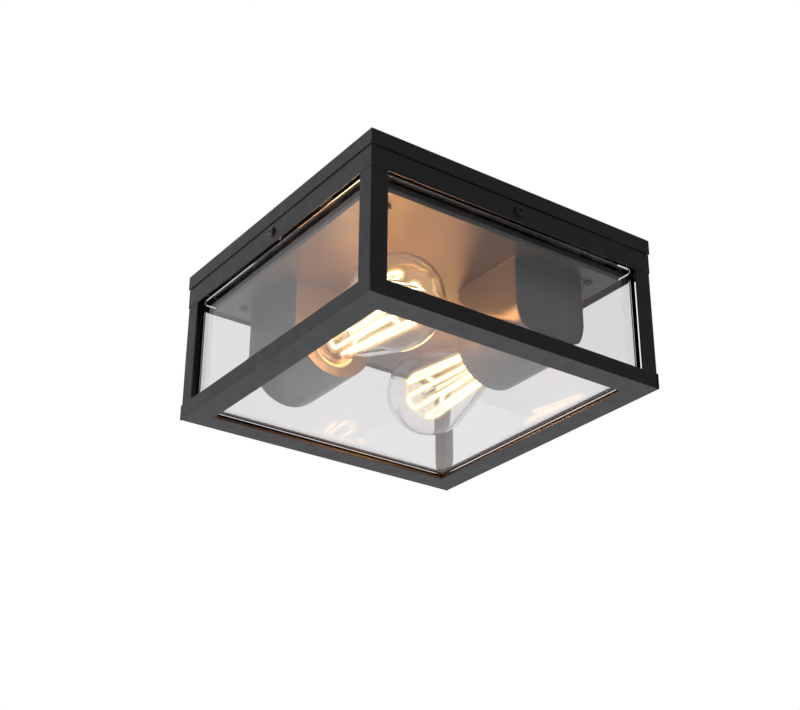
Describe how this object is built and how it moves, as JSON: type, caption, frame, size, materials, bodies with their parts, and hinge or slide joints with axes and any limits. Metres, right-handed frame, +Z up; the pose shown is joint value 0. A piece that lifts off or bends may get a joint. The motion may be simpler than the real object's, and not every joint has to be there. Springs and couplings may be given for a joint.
{
  "type": "porch ceiling lantern",
  "caption": "Square ceiling lantern with a black steel cage round a clear glass box, and teardrop lamps lying in arched housings under a shallow ceiling tray.",
  "frame": {"origin": "middle of the tray's top face, which lies against the ceiling", "axes": "+Z up into the ceiling, -Y the front side, +X the right side; the lamps lie along X"},
  "size_m": [0.2444, 0.2444, 0.1185],
  "materials": {
    "black_steel": "matt black powder coat",
    "bracket_steel": "zinc plated",
    "rubber": "matt",
    "terminal_nylon": "satin",
    "screw_steel": "zinc plated",
    "brass": "satin",
    "earth_sleeve": "green and yellow sleeve",
    "plate_steel": "satin dark grey coat",
    "black_screw": "black oxide",
    "porcelain": "glazed porcelain",
    "lead_sleeve": "silicone sleeve",
    "insulator": "black glass",
    "cap_metal": "nickel-plated brass",
    "bulb_glass": "clear",
    "stem_glass": "clear",
    "filament": "glowing wire",
    "box_glass": "clear"
  },
  "bodies": {
    "ceiling_part": {"ceiling_tray": "black_steel", "side_brackets": "bracket_steel", "entry_grommet": "rubber", "terminal_block": "terminal_nylon", "terminal_screws": "screw_steel", "earth_stud": "brass", "earth_nut": "brass", "earth_lead": "earth_sleeve", "standoffs": "screw_steel", "lamp_plate": "plate_steel", "plate_screws": "black_screw", "plate_grommets": "rubber", "housing_1": "plate_steel", "housing_2": "plate_steel", "housing_screws": "screw_steel", "holder_plate_1": "plate_steel", "holder_plate_2": "plate_steel", "lampholder_1": "porcelain", "lampholder_2": "porcelain", "thread_shell_1": "cap_metal", "thread_shell_2": "cap_metal", "centre_contacts": "brass", "holder_bracket_1": "bracket_steel", "holder_bracket_2": "bracket_steel", "holder_screws": "screw_steel", "lead_1": "lead_sleeve", "lead_2": "lead_sleeve"},
    "lamp_1_seat": {"cap_base_1": "insulator"},
    "lamp_1": {"bulb_cap_1": "cap_metal", "bulb_glass_1": "bulb_glass", "bulb_stem_1": "stem_glass", "filament_1": "filament"},
    "lamp_2_seat": {"cap_base_2": "insulator"},
    "lamp_2": {"bulb_cap_2": "cap_metal", "bulb_glass_2": "bulb_glass", "bulb_stem_2": "stem_glass", "filament_2": "filament"},
    "cage": {"band_front": "black_steel", "band_right": "black_steel", "band_back": "black_steel", "band_left": "black_steel", "post_front_left": "black_steel", "post_front_right": "black_steel", "post_back_right": "black_steel", "post_back_left": "black_steel", "rail_front": "black_steel", "rail_right": "black_steel", "rail_back": "black_steel", "rail_left": "black_steel", "glass_box": "box_glass", "glass_seal": "rubber", "glass_clips": "bracket_steel", "clip_pads": "rubber", "side_screws": "black_screw", "side_nuts": "screw_steel"}
  },
  "joints": [
    {"name": "cage_drop", "type": "slide", "parent": "ceiling_part", "child": "cage", "axis": [0, 0, -1], "range_m": [0, 0.13]},
    {"name": "lamp_1_travel", "type": "slide", "parent": "ceiling_part", "child": "lamp_1_seat", "axis": [1, 0, 0], "range_m": [0, 0.0182]},
    {"name": "lamp_1_turn", "type": "hinge", "parent": "lamp_1_seat", "child": "lamp_1", "pos_m": [0, -0.0513, -0.0735], "axis": [1, 0, 0], "range_deg": [0, 1800]},
    {"name": "lamp_2_travel", "type": "slide", "parent": "ceiling_part", "child": "lamp_2_seat", "axis": [-1, 0, 0], "range_m": [0, 0.0182]},
    {"name": "lamp_2_turn", "type": "hinge", "parent": "lamp_2_seat", "child": "lamp_2", "pos_m": [0, 0.0513, -0.0735], "axis": [-1, 0, 0], "range_deg": [0, 1800]}
  ],
  "couplings": [
    {"joint": "lamp_1_travel", "follows": "lamp_1_turn", "m_per_rad": 0.00057614},
    {"joint": "lamp_2_travel", "follows": "lamp_2_turn", "m_per_rad": 0.00057614}
  ]
}
